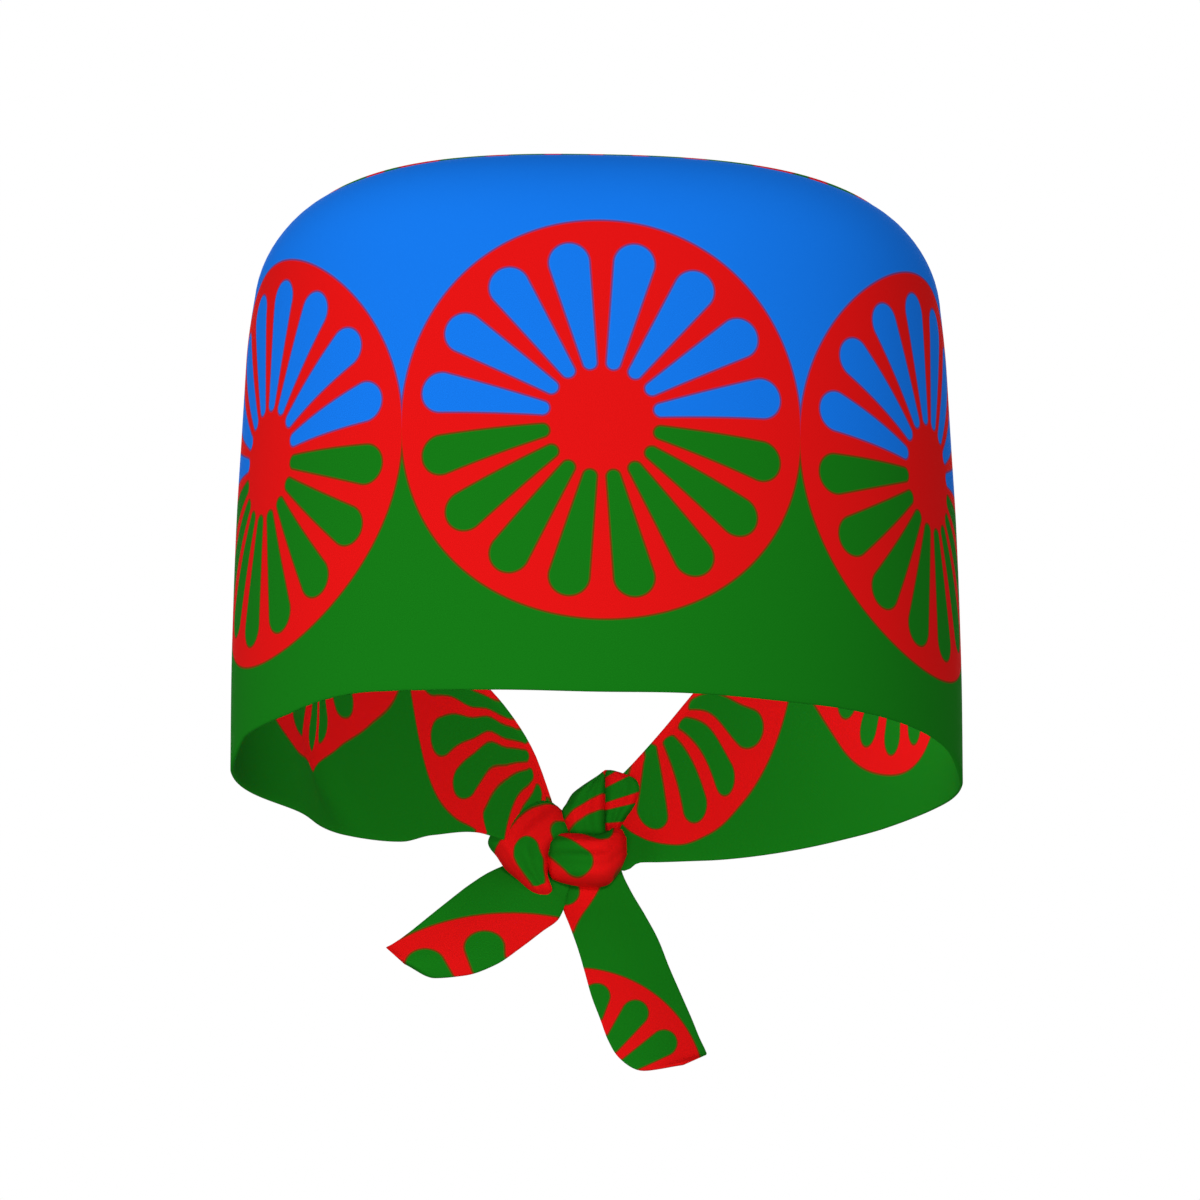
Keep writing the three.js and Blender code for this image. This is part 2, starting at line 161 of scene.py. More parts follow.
LEFT_DRAW = [
    {"across": 9, "low_along": 13.5, "low_up": 33, "mid_along": 14, "mid_up": 33,
     "high_along": 14.5, "high_up": 33},
    {"across": 13, "low_along": 15.5, "low_up": 25.5, "mid_along": 11.5, "mid_up": 25,
     "high_along": 7.5, "high_up": 24},
    {"across": 17, "low_along": 18, "low_up": 22, "mid_along": 9, "mid_up": 19,
     "high_along": -1.5, "high_up": 16},
    {"across": 21, "low_along": 14.5, "low_up": 17, "mid_along": 8.5, "mid_up": 16.5,
     "high_along": 1, "high_up": 15.5},
    {"across": 25, "low_along": 11, "low_up": 10, "mid_along": 9, "mid_up": 12,
     "high_along": 5, "high_up": 15.5},
    {"across": 29, "low_along": 10, "low_up": 3.5, "mid_along": 6.5, "mid_up": 10,
     "high_along": 3.5, "high_up": 15},
    {"across": 34, "low_along": 8, "low_up": 6, "mid_along": 3.5, "mid_up": 7.5,
     "high_along": 0, "high_up": 9.5},
    {"across": 40, "low_along": 5, "low_up": 9.5, "mid_along": 1.5, "mid_up": 7,
     "high_along": -1.5, "high_up": 5},
    {"across": 46, "low_along": 1.5, "low_up": 4, "mid_along": 0, "mid_up": 3,
     "high_along": -1, "high_up": 1.5},
    {"across": 53, "low_along": 1, "low_up": -2.5, "mid_along": 0.5, "mid_up": -2.5,
     "high_along": 0.5, "high_up": -2.5},
    {"across": 59, "low_along": 1, "low_up": -4, "mid_along": 0, "mid_up": -4,
     "high_along": -0.5, "high_up": -3.5},
    {"across": 63, "low_along": 0.5, "low_up": -2.5, "mid_along": 0, "mid_up": -2.5,
     "high_along": -1, "high_up": -2.5},
    {"across": 65.2, "low_along": -2, "low_up": -1, "mid_along": -2, "mid_up": -1,
     "high_along": -3, "high_up": -1},
    {"across": 66.2, "low_along": -8, "low_up": 1, "mid_along": -8, "mid_up": 1,
     "high_along": -8, "high_up": 1},
    {"across": 67.2, "low_along": -14, "low_up": 2, "mid_along": -13, "mid_up": 2,
     "high_along": -11, "high_up": 2},
    {"across": 69.5, "low_along": -16, "low_up": 4.5, "mid_along": -14.5, "mid_up": 4,
     "high_along": -12.5, "high_up": 4},
    {"across": 72, "low_along": -15, "low_up": 7.5, "mid_along": -14, "mid_up": 7,
     "high_along": -13, "high_up": 7},
    {"across": 75, "low_along": -11, "low_up": 10, "mid_along": -11, "mid_up": 9,
     "high_along": -11, "high_up": 8},
    {"across": 79, "low_along": -5, "low_up": 8.5, "mid_along": -5.5, "mid_up": 8,
     "high_along": -6.5, "high_up": 6},
    {"across": 84, "low_along": 0, "low_up": 0, "mid_along": 0, "mid_up": 0,
     "high_along": 0, "high_up": 0},
]

# The soft crease in the left rear wall: how far from the middle it runs at some heights. It eases out
# towards the lower edge.
CREASE = [
    {"height": 0, "across": 58},
    {"height": 8, "across": 61},
    {"height": 19, "across": 67.5},
    {"height": 33, "across": 72},
    {"height": 60, "across": 74},
]
CREASE_DEPTH = 2.6
CREASE_HALF = 5
CREASE_EASE = 16

# How high the front hem rises from one side to the other
FRONT_HEM = [
    {"across": -84.2, "rise": 0},
    {"across": -80.8, "rise": 3},
    {"across": -76, "rise": 2.9},
    {"across": -71, "rise": 3},
    {"across": -66, "rise": 3.6},
    {"across": -60, "rise": 3.9},
    {"across": -55, "rise": 3.8},
    {"across": -48, "rise": 3.1},
    {"across": -38, "rise": 2.1},
    {"across": -24, "rise": 1.1},
    {"across": 0, "rise": 0.2},
    {"across": 22, "rise": 0.9},
    {"across": 43, "rise": 1.5},
    {"across": 59, "rise": 2.6},
    {"across": 73, "rise": 3.1},
    {"across": 78, "rise": 3},
    {"across": 81.4, "rise": 2.5},
    {"across": 84.2, "rise": 0},
]

# How far the shoulders are tucked in at the two sides, beyond an even rounding
TUCK_LEFT = 2.3
TUCK_RIGHT = 1.2
TUCK_START = 96
TUCK_FULL = 128

# The dent in the left rear wall, where the slack cloth falls inwards
DENT_DEPTH = 6
DENT_BACK = 44
DENT_HALF = 20
DENT_TOP = 75

# The print: blue over green with a row of red wheels, which repeats up the cloth. The wheels are
# drawn a little wider than high. The band's blue runs on to its seam, and stops BLUE_MARGIN short of
# the next green.
WHEEL_PITCH = 95.0
WHEEL_RADIUS = 47.1
WHEEL_HEIGHT = 63.9
WHEEL_WIDER = 1.015
PRINT_SHIFT = 1.2
PRINT_REPEAT = 134.0
BLUE_MARGIN = 2
BLUE_TOP = WHEEL_HEIGHT + PRINT_REPEAT / 2 - BLUE_MARGIN
TOP_WHEEL_Y = -40.6

# The petals between the spokes of a wheel, as shares of its radius
SPOKES = 16
PETAL_INNER = 0.29
PETAL_OUTER = 0.80
PETAL_INNER_RADIUS = 0.036
PETAL_OUTER_RADIUS = 0.10

# How finely lengths round the cap are measured
HEM_STEPS = 2000
CLOTH_STEPS = 1500
CLOTH_LEVELS = 24


def column_of(rows, key, name):
    """A smooth curve through the rows of a table that never overshoots them."""
    x = np.array([row[key] for row in rows], float)
    y = np.array([row[name] for row in rows], float)
    slope = np.diff(y) / np.diff(x)
    before, after = slope[:-1], slope[1:]
    same = before * after > 0
    tangent = np.concatenate([slope[:1], np.zeros(len(x) - 2), slope[-1:]])
    tangent[1:-1][same] = (2 * before * after)[same] / (before + after)[same]

    def curve(at):
        at = np.clip(at, x[0], x[-1])
        i = np.clip(np.searchsorted(x, at, side="right") - 1, 0, len(x) - 2)
        span = x[i + 1] - x[i]
        f = (at - x[i]) / span
        rise = y[i + 1] - y[i]
        bend = tangent[i] * span - rise
        unbend = rise - tangent[i + 1] * span
        return y[i] + rise * f + f * (1 - f) * (bend * (1 - f) + unbend * f)

    return curve


plan_column = {name: column_of(PLAN, "height", name) for name in PLAN[0] if name != "height"}
crease_column = column_of(CREASE, "height", "across")
seam_column = column_of(FRONT_SEAM, "across", "height")
hem_column = column_of(FRONT_HEM, "across", "rise")
wing_column = {
    side: {name: column_of(rows, "across", name) for name in ("low", "high")}
    for side, rows in (("right", RIGHT_WING), ("left", LEFT_WING))
}
draw_column = {
    side: {name: column_of(rows, "across", name) for name in rows[0] if name != "across"}
    for side, rows in (("right", RIGHT_DRAW), ("left", LEFT_DRAW))
}


def smooth(f):
    """An even ease from 0 to 1."""
    f = np.clip(f, 0, 1)
    return f * f * (3 - 2 * f)


def signed_power(value, power):
    return np.sign(value) * np.abs(value) ** power


def plan_point(turn, height):
    """The plan point at a turn round the cap: 0 is the front, a quarter turn the right side."""
    side, front = np.sin(turn), np.cos(turn)
    ahead = front >= 0
    rounding = np.where(ahead, plan_column["front_round"](height), plan_column["rear_round"](height))
    depth = np.where(ahead, FRONT_DEPTH, REAR_DEPTH * plan_column["rear"](height))
    x = HALF_WIDTH * plan_column["width"](height) * signed_power(side, 2 / rounding)
    y = -depth * signed_power(front, 2 / rounding)
    return x, y


def inwards(turn, height):
    """The level direction into the cap at a turn, as its x and y."""
    step = 1e-3
    x0, y0 = plan_point(turn - step, height)
    x1, y1 = plan_point(turn + step, height)
    length = np.hypot(x1 - x0, y1 - y0)
    return -(y1 - y0) / length, (x1 - x0) / length


def dent_at(x, y, height):
    """How far the left wall falls inwards at its dent, less how far its crease stands out."""
    fade = smooth(1 - height / DENT_TOP)
    off = (y - DENT_BACK) / DENT_HALF
    dent = DENT_DEPTH * np.exp(-off * off) * fade
    away = np.abs(-x - crease_column(height)) / CREASE_HALF
    crease = CREASE_DEPTH * np.exp(-away * away) * fade * smooth(height / CREASE_EASE)
    return np.where(x > 0, 0, dent - np.where(y > 0, crease, 0))


def wall_point(turn, along):
    """A point of the outer face at a turn and a height along the cloth."""
    height = np.minimum(along, SHOULDER_START)
    over = np.maximum(along - SHOULDER_START, 0) / SHOULDER_RADIUS
    x, y = plan_point(turn, height)
    tuck = smooth((along - TUCK_START) / (TUCK_FULL - TUCK_START)) * np.sin(turn) ** 4
    tuck = tuck * np.where(x > 0, TUCK_RIGHT, TUCK_LEFT)
    inset = SHOULDER_RADIUS * (1 - np.cos(over)) + dent_at(x, y, height) + tuck * np.cos(over)
    in_x, in_y = inwards(turn, height)
    x = x + in_x * inset
    y = y + in_y * inset
    z = height + (SHOULDER_RADIUS - tuck) * np.sin(over) + ASKEW * x
    return np.stack([x, y, z], -1)


def crown_point(turn, share):
    """A point of the crown, from its rim at 0 to its centre at 1."""
    rim = wall_point(turn, np.full_like(turn, CROWN_START))
    over = (CROWN_START - SHOULDER_START) / SHOULDER_RADIUS
    centre = np.array([0, CROWN_CENTRE_Y, SHOULDER_START + SHOULDER_RADIUS * math.sin(over)])
    point = rim + (centre - rim) * share[..., None]
    point[..., 2] += CROWN_RISE * (1 - (1 - share) ** 2)
    return point


def turn_at(across, sign):
    """The turn at which the rear wall lies this far from the middle."""
    share = across / (HALF_WIDTH * plan_column["width"](WING_LEVEL))
    return sign * (math.pi - math.asin(min(share, 1) ** (plan_column["rear_round"](WING_LEVEL) / 2)))


def wing_at(turn, table):
    """The named columns of a wing's table at some turns."""
    x, _ = plan_point(turn, np.full_like(turn, WING_LEVEL))
    right = np.sin(turn) > 0
    rear = np.cos(turn) < 0
    found = {}
    for name, right_curve in table["right"].items():
        value = np.where(right, right_curve(np.abs(x)), table["left"][name](np.abs(x)))
        found[name] = np.where(rear, value, right_curve(HALF_WIDTH))
    return found


def even_turns(first, last, count):
    """Turns from one end to the other whose points are evenly spaced along the hem."""
    turns = np.linspace(first, last, HEM_STEPS)
    x, y = plan_point(turns, np.full_like(turns, WING_LEVEL))
    lengths = np.concatenate([[0], np.cumsum(np.hypot(np.diff(x), np.diff(y)))])
    return np.interp(np.linspace(0, lengths[-1], count), lengths, turns)


def along_cloth(turn, height):
    """The distance round the cap from the middle of its front, at that height, right positive."""
    levels = np.linspace(0, SHOULDER_START, CLOTH_LEVELS)
    fine = np.linspace(0, math.pi, CLOTH_STEPS)
    lengths = []
    for level in levels:
        x, y = plan_point(fine, np.full_like(fine, level))
        total = np.concatenate([[0], np.cumsum(np.hypot(np.diff(x), np.diff(y)))])
        lengths.append(np.interp(np.abs(turn), fine, total))
    lengths = np.stack(lengths)

    # Just short of the last level, so that there is always a level above
    last = len(levels) - 1.001
    at = np.clip(height / levels[1], 0, last)
    low = at.astype(int)
    part = at - low
    below = np.take_along_axis(lengths, low[None], 0)[0]
    above = np.take_along_axis(lengths, low[None] + 1, 0)[0]
    return np.sign(turn) * (below + part * (above - below))


def normals_of(grid, closed=False):
    """Directions out of a grid of points whose columns run round the cap and whose rows run up it."""
    if closed:
        wrapped = np.concatenate([grid[-1:], grid, grid[:1]])
        along = wrapped[2:] - wrapped[:-2]
    else:
        along = np.gradient(grid, axis=0)
    up = np.gradient(grid, axis=1)
    out = np.cross(along, up)
    length = np.linalg.norm(out, axis=-1, keepdims=True)
    return out / np.maximum(length, TINY)


def mesh_object(name, points, faces, prints, material):
    """An object from points in millimetres, with the place in the print at each of its points."""
    mesh = bpy.data.meshes.new(name)
    mesh.from_pydata((points * MM).tolist(), [], faces)
    mesh.validate()
    work = bmesh.new()
    work.from_mesh(mesh)
    bmesh.ops.recalc_face_normals(work, faces=work.faces)
    work.to_mesh(mesh)
    work.free()
    layer = mesh.uv_layers.new(name="print")
    corner = np.empty(len(mesh.loops), int)
    mesh.loops.foreach_get("vertex_index", corner)
    layer.data.foreach_set("uv", prints[corner].astype(np.float32).ravel())
    mesh.polygons.foreach_set("use_smooth", [True] * len(mesh.polygons))
    mesh.materials.append(material)
    piece = bpy.data.objects.new(name, mesh)
    bpy.context.scene.collection.objects.link(piece)
    return piece


def round_edge(outer, inner, away):
    """The points of a rounded edge from the outer to the inner face, bulging away from the cloth."""
    middle = (outer + inner) / 2
    radius = (outer - inner) / 2
    size = np.linalg.norm(radius, axis=-1, keepdims=True)
    arcs = []
    for k in range(1, HEM_ROUND):
        angle = math.pi * k / HEM_ROUND
        arcs.append(middle + radius * math.cos(angle) + away * size * math.sin(angle))
    return arcs


def unit(vectors):
    """The same directions at length one."""
    return vectors / np.maximum(np.linalg.norm(vectors, axis=-1, keepdims=True), TINY)


def cloth_object(name, outer, prints, material, closed=False, tip=False, through=None):
    """A cloth with rounded edges from a grid of points on its outer face."""
    inward = np.array(through, float) if through else -normals_of(outer, closed)
    inner = outer + inward * CLOTH
    columns, rows = outer.shape[:2]
    low = round_edge(inner[:, 0], outer[:, 0], unit(outer[:, 0] - outer[:, 1]))
    high = [] if tip else round_edge(outer[:, -1], inner[:, -1], unit(outer[:, -1] - outer[:, -2]))
    loop = list(np.moveaxis(outer, 1, 0)) + high + list(np.moveaxis(inner[:, ::-1], 1, 0)) + low
    loop = np.stack(loop, 1)
    front = list(range(rows))
    flat = front + [rows - 1] * len(high) + front[::-1] + [0] * len(low)
    size = loop.shape[1]
    points = loop.reshape(-1, 3)
    places = prints[:, flat].reshape(-1, 2)
    faces = faces_between(columns, size, closed, rows - 1 if tip else None)
    if tip:
        total = len(points)
        faces += fan(list(range(rows - 1, total, size)), total)
        faces += fan(list(range(rows, total, size)), total + 1)
        ends = [outer[:, -1].mean(0), inner[:, -1].mean(0)]
        points = np.concatenate([points, ends])
        places = np.concatenate([places, [prints[:, -1].mean(0)] * 2])
    if not closed:
        faces += end_faces(rows, size, len(high), 0)
        faces += end_faces(rows, size, len(high), (columns - 1) * size)
    return mesh_object(name, points, faces, places, material)


def faces_between(rings, sides, closed=False, left_open=None):
    """The faces from each ring of points to the next, and back to the first where it is closed."""
    faces = []
    for i in range(rings if closed else rings - 1):
        here, after = i * sides, ((i + 1) % rings) * sides
        for j in range(sides):
            k = (j + 1) % sides
            if j != left_open:
                faces.append((here + j, after + j, after + k, here + k))
    return faces


def fan(ring, centre):
    """The triangles from a closed ring of points to one in its middle."""
    return [(a, b, centre) for a, b in zip(ring, ring[1:] + ring[:1])]


def end_faces(rows, size, rounds, start):
    """The faces that close the cloth at an end, from the outer to the inner face."""
    faces = []
    for j in range(rows - 1):
        back = 2 * rows + rounds - 1 - j
        faces.append((start + j, start + j + 1, start + back - 1, start + back))
    faces.append(tuple(start + j for j in range(rows - 1, rows + rounds + 1)))
    faces.append(tuple(start + j % size for j in range(2 * rows + rounds - 1, size + 1)))
    return faces


# Colours of the printed cloth, as they show in even light. The ink bleeds over EDGE_SOFT millimetres
# to each side of the red's edge, where it shows darker by the share EDGE_DARKER.
PRINT_BLUE = "137AF0"
PRINT_GREEN = "137914"
PRINT_RED = "E81212"
EDGE_SOFT = 0.42
EDGE_DARKER = 0.55

# The weave. Poplin has a thread about every 0.25 mm, too fine to show here, so it is drawn coarser.
THREAD_SPACING = 0.8
WEAVE_DEPTH = 0.02
WEAVE_STRENGTH = 0.5
POPLIN_ROUGHNESS = 0.88
POPLIN_GLOSS = 0.04


def linear(code):
    """An sRGB hex value as a linear colour."""
    shares = [int(code[i:i + 2], 16) / 255 for i in (0, 2, 4)]
    return [c / 12.92 if c <= 0.04045 else ((c + 0.055) / 1.055) ** 2.4 for c in shares] + [1]


def add_node(tree, kind, inputs=(), **settings):
    """A node with its settings, and its inputs by place or name. An input is a number, a colour, an
    output, or a node, which stands for its first output."""
    node = tree.nodes.new(kind)
    for name, value in settings.items():
        setattr(node, name, value)
    for key, value in (inputs.items() if isinstance(inputs, dict) else enumerate(inputs)):
        if isinstance(value, bpy.types.Node):
            value = value.outputs[0]
        if isinstance(value, bpy.types.NodeSocket):
            tree.links.new(value, node.inputs[key])
        else:
            node.inputs[key].default_value = value
    return node


def place_in_wheel(add, along, up):
    """The height over the middle of the nearest wheel in millimetres, and the place in that wheel:
    its distance from the middle as a share of the radius, and its angle."""
    half = WHEEL_PITCH / 2
    beside = add("ShaderNodeMath", [along, half, -half], operation="WRAP")
    x = add("ShaderNodeMath", [beside, WHEEL_RADIUS * WHEEL_WIDER], operation="DIVIDE")
    half = PRINT_REPEAT / 2
    above = add("ShaderNodeMath", [up, WHEEL_HEIGHT], operation="SUBTRACT")
    level = add("ShaderNodeMath", [above, half, -half], operation="WRAP")
    y = add("ShaderNodeMath", [level, WHEEL_RADIUS], operation="DIVIDE")
    x_square = add("ShaderNodeMath", [x, x], operation="MULTIPLY")
    square = add("ShaderNodeMath", [y, y, x_square], operation="MULTIPLY_ADD")
    radius = add("ShaderNodeMath", [square], operation="SQRT")
    angle = add("ShaderNodeMath", [y, x], operation="ARCTAN2")
    return level, radius, angle


def depth_in_red(add, radius, angle):
    """How far inside the red of a wheel a place in it is, in millimetres. The red is the whole disc
    but its petals, and each petal is a capsule that widens outwards."""
    step = 2 * math.pi / SPOKES
    turned = add("ShaderNodeMath", [angle, step, 0.0], operation="WRAP")
    bearing = add("ShaderNodeMath", [turned, step / 2], operation="SUBTRACT")
    cosine = add("ShaderNodeMath", [bearing], operation="COSINE")
    ahead = add("ShaderNodeMath", [radius, cosine], operation="MULTIPLY")
    outwards = add("ShaderNodeMath", [ahead, PETAL_INNER], operation="SUBTRACT")
    sine = add("ShaderNodeMath", [bearing], operation="SINE")
    sideways = add("ShaderNodeMath", [radius, sine], operation="MULTIPLY")
    aside = add("ShaderNodeMath", [sideways], operation="ABSOLUTE")

    # The nearest place on the petal's own line, and the petal's radius there
    length = PETAL_OUTER - PETAL_INNER
    widening = (PETAL_OUTER_RADIUS - PETAL_INNER_RADIUS) / length
    lean = widening / math.sqrt(1 - widening ** 2)
    leaning = add("ShaderNodeMath", [aside, lean, outwards], operation="MULTIPLY_ADD")
    started = add("ShaderNodeMath", [leaning, 0.0], operation="MAXIMUM")
    foot = add("ShaderNodeMath", [started, length], operation="MINIMUM")
    own = add("ShaderNodeMath", [foot, widening, PETAL_INNER_RADIUS], operation="MULTIPLY_ADD")
    beyond = add("ShaderNodeMath", [outwards, foot], operation="SUBTRACT")
    aside_square = add("ShaderNodeMath", [aside, aside], operation="MULTIPLY")
    square = add("ShaderNodeMath", [beyond, beyond, aside_square], operation="MULTIPLY_ADD")
    gap = add("ShaderNodeMath", [square], operation="SQRT")
    off_petal = add("ShaderNodeMath", [gap, own], operation="SUBTRACT")
    off_rim = add("ShaderNodeMath", [1.0, radius], operation="SUBTRACT")
    inside = add("ShaderNodeMath", [off_petal, off_rim], operation="MINIMUM")
    return add("ShaderNodeMath", [inside, WHEEL_RADIUS], operation="MULTIPLY")


def printed_colour(add, along, up):
    """The print's colour at a place on the cloth, with the darker line where the red overlaps."""
    level, radius, angle = place_in_wheel(add, along, up)
    soft = {"From Min": -EDGE_SOFT, "From Max": EDGE_SOFT}
    depth = depth_in_red(add, radius, angle)
    red = add("ShaderNodeMapRange", {"Value": depth, **soft}, interpolation_type="SMOOTHSTEP")
    sky = add("ShaderNodeMapRange", {"Value": level, **soft})
    colours = {6: linear(PRINT_GREEN), 7: linear(PRINT_BLUE)}
    ground = add("ShaderNodeMix", {0: sky, **colours}, data_type="RGBA").outputs[2]
    colours = {6: ground, 7: linear(PRINT_RED)}
    inked = add("ShaderNodeMix", {0: red, **colours}, data_type="RGBA").outputs[2]

    # Both inks lie on the edge itself, where this product is a quarter
    bare = add("ShaderNodeMath", [1.0, red], operation="SUBTRACT")
    both = add("ShaderNodeMath", [red, bare], operation="MULTIPLY")
    overlap = add("ShaderNodeMath", [both, 4.0], operation="MULTIPLY")
    dark = add("ShaderNodeMath", [overlap, EDGE_DARKER], operation="MULTIPLY")
    keep = add("ShaderNodeMath", [1.0, dark], operation="SUBTRACT")
    return add("ShaderNodeVectorMath", {0: inked, "Scale": keep}, operation="SCALE")


def woven_threads(add, along, up):
    """The height of the threads, which pass over and under each other both ways."""
    threads = []
    for way in (along, up):
        phase = add("ShaderNodeMath", [way, 2 * math.pi / THREAD_SPACING], operation="MULTIPLY")
        threads.append(add("ShaderNodeMath", [phase], operation="SINE"))
    return add("ShaderNodeMath", threads, operation="MULTIPLY")


def printed_poplin():
    """Woven polyester-cotton poplin, printed through: matt, closely woven, hardly any gloss.
    The print is laid by the map named print, in millimetres along and up the cloth."""
    material = bpy.data.materials.new("woven_poplin_printed")
    material.use_nodes = True
    material.node_tree.nodes.clear()
    add = partial(add_node, material.node_tree)
    place = add("ShaderNodeSeparateXYZ", [add("ShaderNodeUVMap", uv_map="print")])
    along, up = place.outputs[0], place.outputs[1]
    threads = {
        "Height": woven_threads(add, along, up),
        "Distance": WEAVE_DEPTH * MM,
        "Strength": WEAVE_STRENGTH,
    }
    finish = {
        "Base Color": printed_colour(add, along, up),
        "Roughness": POPLIN_ROUGHNESS,
        "Specular IOR Level": POPLIN_GLOSS,
        "Normal": add("ShaderNodeBump", threads),
    }
    add("ShaderNodeOutputMaterial", [add("ShaderNodeBsdfPrincipled", finish)])
    return material


poplin = printed_poplin()

# The side band, and how deep and wide the seam at its top is drawn in
BAND_COLUMNS = 420
BAND_ROWS = 72
SEAM_DIP = 0.4
SEAM_SPREAD = 1.3
band_turns = even_turns(turn_at(LEFT_END, -1), turn_at(RIGHT_END, 1), BAND_COLUMNS)


def seam_dip(distance):
    """How far the cloth is drawn in at that distance from the seam."""
    return SEAM_DIP * np.exp(-(distance / SEAM_SPREAD) ** 2)


def seam_at(turn):
    """The height of the seam, or of the wing's free upper edge, at some turns."""
    x, _ = plan_point(turn, np.zeros_like(turn))
    return np.where(np.cos(turn) > 0, seam_column(np.abs(x)), wing_at(turn, wing_column)["high"])


def side_band():
    """The band with its two wings, from the hem to the seam or to the wings' free upper edges."""
    wing = wing_at(band_turns, wing_column)
    share = np.linspace(0, 1, BAND_ROWS)[None, :]
    turn = np.repeat(band_turns[:, None], BAND_ROWS, 1)
    x, _ = plan_point(band_turns, np.zeros_like(band_turns))
    low = np.where(np.cos(band_turns) > 0, hem_column(x), wing["low"])[:, None]
    high = seam_at(band_turns)[:, None]
    along = low + (high - low) * share
    outer = wall_point(turn, along)
    outer -= normals_of(outer) * seam_dip(high - along)[..., None]
    draw = wing_at(band_turns, draw_column)
    drawn, raised = (
        draw["low_" + way][:, None] * (1 - share) * (1 - 2 * share)
        + draw["mid_" + way][:, None] * 4 * share * (1 - share)
        + draw["high_" + way][:, None] * share * (2 * share - 1)
        for way in ("along", "up")
    )
    round_cap = along_cloth(turn, np.minimum(along, SHOULDER_START)) - PRINT_SHIFT
    up = np.minimum(along + raised, BLUE_TOP)
    prints = np.stack([round_cap + np.sign(turn) * drawn, up], -1)
    return cloth_object("printed_side_band", outer, prints, poplin)


# The top panel. Where it starts no more than SEWN_WITHIN over a wing's edge, it is sewn to it.
TOP_COLUMNS_BEHIND = 24
TOP_WALL_ROWS = 36
TOP_CROWN_ROWS = 34
SEWN_WITHIN = 0.5


def top_panel():
    """The crown, with the wall that it makes down to the seam and down the back to its free edge."""
    behind = np.linspace(band_turns[-1], band_turns[0] + 2 * math.pi, TOP_COLUMNS_BEHIND + 2)[1:-1]
    turns = np.concatenate([band_turns, behind])
    x, _ = plan_point(turns, np.full_like(turns, WING_LEVEL))
    seam = seam_at(np.where(turns > math.pi, turns - 2 * math.pi, turns))
    arch = REAR_EDGE_ARCH * (1 - np.minimum(np.abs(x) / REAR_EDGE_HALF, 1) ** 2)
    rear = np.cos(turns) < 0
    low = np.where(rear, np.maximum(seam, REAR_EDGE_HEIGHT + arch), seam)
    share = np.linspace(0, 1, TOP_WALL_ROWS, endpoint=False)[None, :]
    along = low[:, None] + (CROWN_START - low[:, None]) * share
    turn = np.repeat(turns[:, None], TOP_WALL_ROWS, 1)
    wall = wall_point(turn, along)
    crown_share = np.linspace(0, 1, TOP_CROWN_ROWS, endpoint=False)
    crown_turn = np.repeat(turns[:, None], TOP_CROWN_ROWS, 1)
    crown = crown_point(crown_turn, np.repeat(crown_share[None, :], len(turns), 0))
    outer = np.concatenate([wall, crown], 1)
    sewn = (low - seam < SEWN_WITHIN)[:, None]
    dip = np.where(sewn, seam_dip(along - low[:, None]), 0)
    dip = np.concatenate([dip, np.zeros((len(turns), TOP_CROWN_ROWS))], 1)
    outer -= normals_of(outer, closed=True) * dip[..., None]
    rim = wall_point(turn, np.full_like(turn, CROWN_START))
    in_x, in_y = inwards(turn, np.full_like(turn, SHOULDER_START))
    down = CROWN_START - along
    flat_x = np.concatenate([rim[..., 0] - in_x * down, crown[..., 0]], 1)
    flat_y = np.concatenate([rim[..., 1] - in_y * down, crown[..., 1]], 1)
    prints = np.stack([flat_x, flat_y - TOP_WHEEL_Y + WHEEL_HEIGHT], -1)
    return cloth_object("printed_top_panel", outer, prints, poplin, closed=True, tip=True)


# The knot and the two free ends are printed cloth that was turned as it was tied. Where a piece has
# its own lay of the print, the lay names the middle of a wheel, the direction of one of its spokes,
# the place of that spoke in the wheel, and how much the cloth is drawn together along and across it.
# Lays and rows are given on the plane that faces the camera. The lays of the two free ends come from
# such a fit too.
KNOT_DEPTH = 125


def laid_print(points, lay):
    """The place in the print of each point, where the print is laid flat towards the camera."""
    plane_x = points[..., 0] - lay["x"]
    plane_z = points[..., 2] * math.cos(LOOK) - points[..., 1] * math.sin(LOOK) - lay["z"]
    heading = math.radians(lay["heading"])
    along = (plane_x * math.cos(heading) + plane_z * math.sin(heading)) / lay["along"]
    across = (plane_z * math.cos(heading) - plane_x * math.sin(heading)) / lay["across"]
    spoke = math.radians(lay["spoke"])
    u = along * math.cos(spoke) - across * math.sin(spoke)
    v = along * math.sin(spoke) + across * math.cos(spoke)
    return np.stack([u * WHEEL_WIDER, v + WHEEL_HEIGHT], -1)


def smooth_rows(rows, count):
    """The columns of a table as smooth curves through evenly spaced rows, at count places."""
    at = np.linspace(0, len(rows) - 1, count)
    numbered = [{"row": i, **row} for i, row in enumerate(rows)]
    return {name: column_of(numbered, "row", name)(at)[:, None] for name in rows[0]}


def as_seen(x, z, y):
    """The place of cloth at the depth y, given where it shows from the front at the knot's depth."""
    depth = y * math.cos(LOOK) + (z - VIEW_HEIGHT) * math.sin(LOOK)
    nearer = 1 + depth / VIEW_DISTANCE
    height = (z - VIEW_HEIGHT) * math.cos(LOOK) - KNOT_DEPTH * math.sin(LOOK)
    return x * nearer, VIEW_HEIGHT + (height * nearer + y * math.sin(LOOK)) / math.cos(LOOK)


